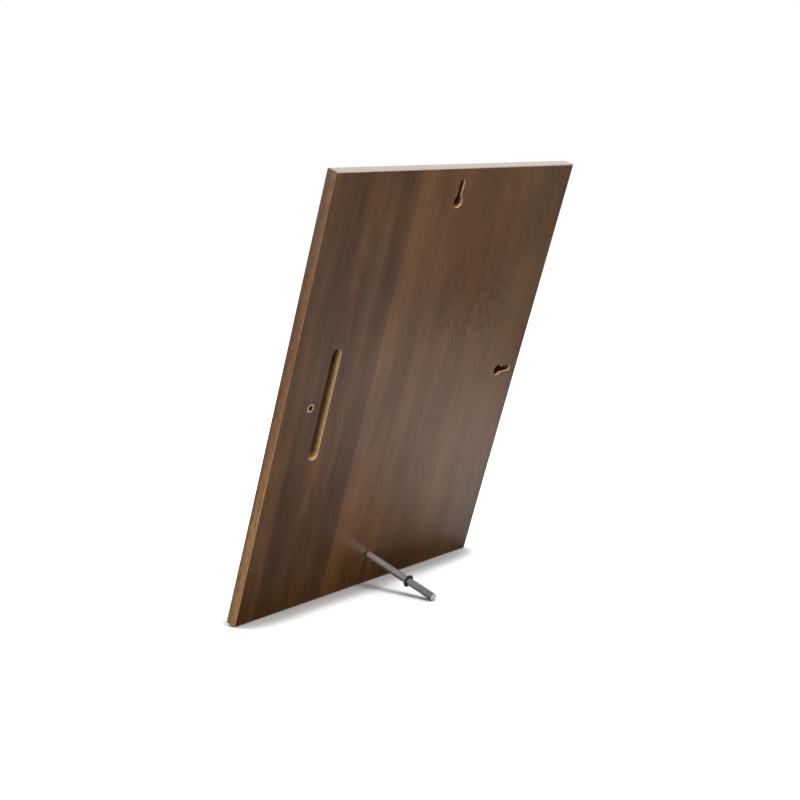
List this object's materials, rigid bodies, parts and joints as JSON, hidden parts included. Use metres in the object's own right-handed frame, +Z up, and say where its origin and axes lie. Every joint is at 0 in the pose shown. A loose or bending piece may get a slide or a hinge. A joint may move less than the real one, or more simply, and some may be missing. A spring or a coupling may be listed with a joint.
{
  "type": "photo panel with screw-in easel peg",
  "caption": "Flat photo panel leaning on a metal peg screwed into its back, with keyhole slots for hanging upright or sideways, a groove to store the peg, and a spare threaded insert.",
  "frame": {"origin": "on the table, under the middle of the bounding box, in the standing pose", "axes": "+X across the panel, to the right as seen from the picture side; +Y behind the panel, where the peg stands; +Z up. The panel leans back by 19.55 degrees"},
  "size_m": [0.2794, 0.1268, 0.3376],
  "materials": {
    "walnut_laminate": "semi-gloss walnut decor, grain upright",
    "mdf_core": "cut fibreboard",
    "picture_face": "satin, bare",
    "walnut_edge_band": "satin walnut decor",
    "brass": "turned",
    "satin_aluminium": "satin turned",
    "dark_steel": "black oxide",
    "black_rubber": "matt"
  },
  "bodies": {
    "board": {"core_panel": "mdf_core", "back_laminate": "walnut_laminate", "front_laminate": "walnut_laminate", "picture_sheet": "picture_face", "edge_band_left": "walnut_edge_band", "edge_band_right": "walnut_edge_band", "edge_band_top": "walnut_edge_band", "edge_band_bottom": "walnut_edge_band", "bottom_insert": "brass", "side_insert": "brass"},
    "ring": {"rubber_ring": "black_rubber"},
    "peg": {"peg_rod": "satin_aluminium", "peg_stud": "dark_steel"}
  },
  "joints": [
    {"name": "peg_travel", "type": "slide", "parent": "board", "child": "ring", "axis": [0, 0.9424, -0.3346], "range_m": [0, 0.0077]},
    {"name": "peg_turn", "type": "hinge", "parent": "ring", "child": "peg", "pos_m": [0, -0.04565, 0.02712], "axis": [0, 0.9424, -0.3346], "range_deg": [0, 3960]}
  ],
  "couplings": [
    {"joint": "peg_turn", "follows": "peg_travel", "rad_per_m": 8976}
  ]
}
